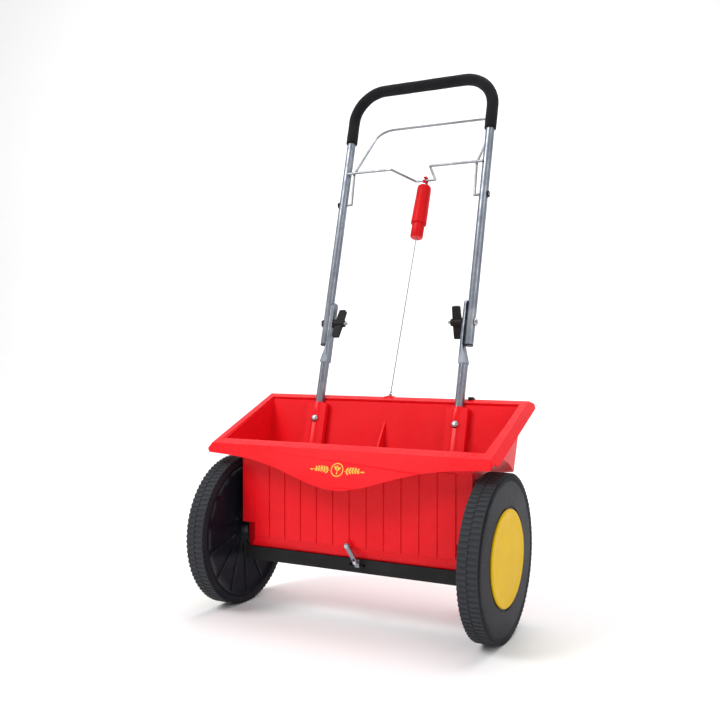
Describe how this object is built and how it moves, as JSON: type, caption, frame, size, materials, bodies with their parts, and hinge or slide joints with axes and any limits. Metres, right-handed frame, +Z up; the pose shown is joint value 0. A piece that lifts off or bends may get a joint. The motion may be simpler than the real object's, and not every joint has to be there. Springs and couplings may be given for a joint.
{
  "type": "garden drop spreader",
  "caption": "Push-along garden drop spreader with a sloping open hopper, ribbed wheels, folding tube handle with foam grip, squeeze bail and pull wire to a sliding shutter.",
  "frame": {"origin": "middle of the bounding box at floor level; the wheels and the stand rest on z = 0", "axes": "+X to the right along the axle as seen from the apron side, +Y back towards the user, +Z up"},
  "size_m": [0.525, 0.4629, 0.9614],
  "materials": {
    "red": "moulded, glossy",
    "red_part": "moulded, semi-gloss",
    "black_part": "moulded, fine grain",
    "wheel_black": "moulded, satin",
    "tyre": "fine ribbed",
    "yellow": "moulded, semi-gloss",
    "zinc": "zinc plated, satin",
    "wire": "bright drawn",
    "rail": "powder coated, matte",
    "foam": "closed-cell foam sleeve"
  },
  "bodies": {
    "frame": {"hopper": "red", "base_rail": "rail", "rail_screws": "zinc", "axle_bushes": "black_part", "wheel_spacers": "zinc", "lower_tube_left": "zinc", "lower_tube_right": "zinc", "tube_bolts": "zinc", "tube_nuts": "zinc", "clamp_bolts": "zinc", "crank_stud": "zinc", "lever_stud": "zinc", "guide_pin": "zinc", "wire_guide": "black_part", "stand_bracket": "zinc", "bracket_screws": "zinc", "stand_bolt": "zinc", "stand_clip": "black_part"},
    "left_wheel": {"axle": "zinc", "agitator": "black_part", "wheel_left": "wheel_black", "tyre_left": "tyre", "cap_left": "yellow", "drive_pin": "zinc", "axle_clip": "zinc"},
    "right_wheel": {"wheel_right": "wheel_black", "tyre_right": "tyre", "cap_right": "yellow"},
    "handle": {"upper_handle": "zinc", "grip": "foam", "tube_end_caps": "black_part"},
    "knob_left": {"wing_knob_left": "black_part"},
    "knob_right": {"wing_knob_right": "black_part"},
    "bail": {"bail_loop": "zinc", "bail_crossbar": "zinc", "bail_retainers": "black_part"},
    "bell_crank": {"bell_crank": "zinc", "crank_spring": "wire"},
    "shutter": {"shutter": "zinc", "shutter_pin": "zinc"},
    "front_lever": {"front_lever": "zinc"},
    "lower_wire": {"pull_wire_lower": "wire", "wire_nipple": "zinc"},
    "wire_sway": {"wire_ferrule": "zinc", "wire_bead": "zinc"},
    "upper_wire": {"pull_wire_upper": "wire", "adjuster_core": "red_part", "adjuster_eye": "red_part", "adjuster_nut": "zinc"},
    "adjuster": {"adjuster_sleeve": "red_part"},
    "stand": {"stand_leg": "zinc", "stand_foot": "black_part"}
  },
  "joints": [
    {"name": "left_wheel_spin", "type": "hinge", "parent": "frame", "child": "left_wheel", "pos_m": [0, -0.1015, 0.13], "axis": [1, 0, 0], "continuous": true},
    {"name": "right_wheel_spin", "type": "hinge", "parent": "frame", "child": "right_wheel", "pos_m": [0.24, -0.1015, 0.13], "axis": [1, 0, 0], "continuous": true},
    {"name": "handle_fold", "type": "hinge", "parent": "frame", "child": "handle", "pos_m": [0, 0.042, 0.4955], "axis": [1, 0, 0], "range_deg": [0, 115]},
    {"name": "left_knob_turn", "type": "hinge", "parent": "frame", "child": "knob_left", "pos_m": [-0.116, 0.042, 0.4955], "axis": [1, 0, 0], "continuous": true},
    {"name": "right_knob_turn", "type": "hinge", "parent": "frame", "child": "knob_right", "pos_m": [0.116, 0.042, 0.4955], "axis": [1, 0, 0], "continuous": true},
    {"name": "bail_squeeze", "type": "hinge", "parent": "handle", "child": "bail", "pos_m": [0, 0.10334, 0.72442], "axis": [1, 0, 0], "range_deg": [0, 20], "stiffness_Nm_per_rad": 0.6, "springref_deg": -25},
    {"name": "bell_crank_turn", "type": "hinge", "parent": "frame", "child": "bell_crank", "pos_m": [0.02, -0.0305, 0.118], "axis": [0, 1, 0], "range_deg": [0, 36.5]},
    {"name": "shutter_slide", "type": "slide", "parent": "frame", "child": "shutter", "axis": [-1, 0, 0], "range_m": [0, 0.01263]},
    {"name": "front_lever_turn", "type": "hinge", "parent": "frame", "child": "front_lever", "pos_m": [0, -0.1415, 0.13], "axis": [0, 1, 0], "range_deg": [0, 25.15]},
    {"name": "lower_wire_slide", "type": "slide", "parent": "frame", "child": "lower_wire", "axis": [0, 0.2398, 0.9708], "range_m": [0, 0.01556]},
    {"name": "wire_sway_forward", "type": "hinge", "parent": "frame", "child": "wire_sway", "pos_m": [-0.004, 0.0245, 0.361], "axis": [1, 0, 0], "range_deg": [0, 3.75]},
    {"name": "upper_wire_slide", "type": "slide", "parent": "wire_sway", "child": "upper_wire", "axis": [0, 0.3542, 0.9352], "range_m": [0, 0.01549]},
    {"name": "adjuster_turn", "type": "hinge", "parent": "upper_wire", "child": "adjuster", "pos_m": [-0.004, 0.15909, 0.71637], "axis": [0, 0.3542, 0.9352], "continuous": true},
    {"name": "stand_fold", "type": "hinge", "parent": "frame", "child": "stand", "pos_m": [0.151, 0.0305, 0.27], "axis": [1, 0, 0], "range_deg": [0, 166.34]}
  ],
  "couplings": [
    {"joint": "bell_crank_turn", "follows": "bail_squeeze", "ratio": 1.81},
    {"joint": "shutter_slide", "follows": "bail_squeeze", "m_per_rad": 0.035601},
    {"joint": "front_lever_turn", "follows": "bail_squeeze", "ratio": 1.2426},
    {"joint": "lower_wire_slide", "follows": "bail_squeeze", "m_per_rad": 0.044005},
    {"joint": "wire_sway_forward", "follows": "bail_squeeze", "ratio": 0.17754},
    {"joint": "upper_wire_slide", "follows": "bail_squeeze", "m_per_rad": 0.043793}
  ]
}
